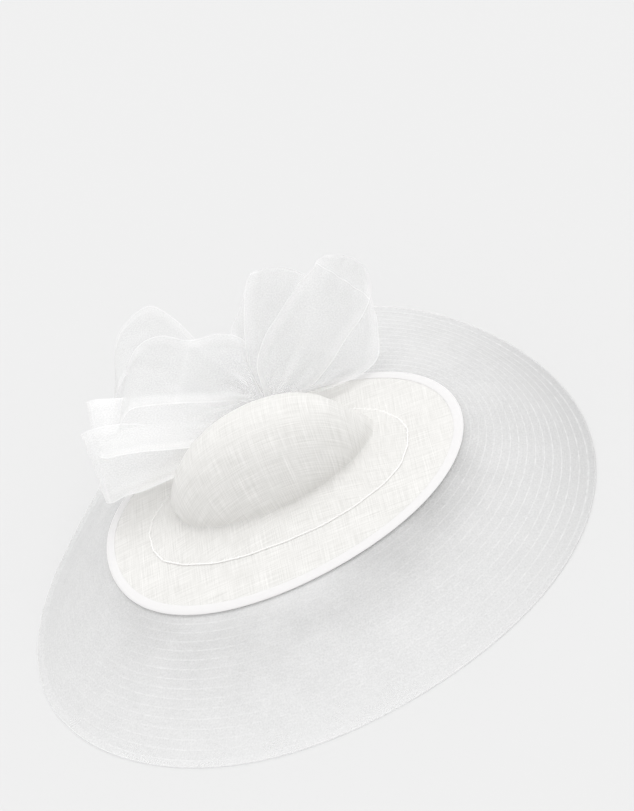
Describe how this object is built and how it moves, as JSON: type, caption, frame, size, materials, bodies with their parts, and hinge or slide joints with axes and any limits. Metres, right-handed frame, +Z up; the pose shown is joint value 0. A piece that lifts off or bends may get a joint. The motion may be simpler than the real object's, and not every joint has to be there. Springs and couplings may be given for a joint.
{
  "type": "fascinator",
  "caption": "Wide-brimmed fascinator: a see-through crin brim with an oval woven disc, a small domed crown and a bow of ribbon loops behind it.",
  "frame": {"origin": "on the floor, under the middle of the rim's outline", "axes": "+Z up from the floor that the rim rests on, +X along the disc's longer way, +Y towards the bow behind the crown"},
  "size_m": [0.4874, 0.4782, 0.1529],
  "materials": {
    "white_crin": "see-through woven crin",
    "ivory_sinamay": "matte open straw weave",
    "white_bias_binding": "matte",
    "white_organza": "sheer, soft sheen",
    "clear_plastic": "gloss"
  },
  "bodies": {
    "root": {"crin_brim": "white_crin", "sinamay_disc": "ivory_sinamay", "edge_binding": "white_bias_binding", "crown_flange": "ivory_sinamay", "crown": "ivory_sinamay", "bow_knot": "white_organza", "bow_loop_tall": "white_organza", "bow_loop_rear": "white_organza", "bow_loop_middle": "white_organza", "bow_loop_upper": "white_organza", "bow_loop_lower": "white_organza", "comb": "clear_plastic"}
  },
  "joints": []
}
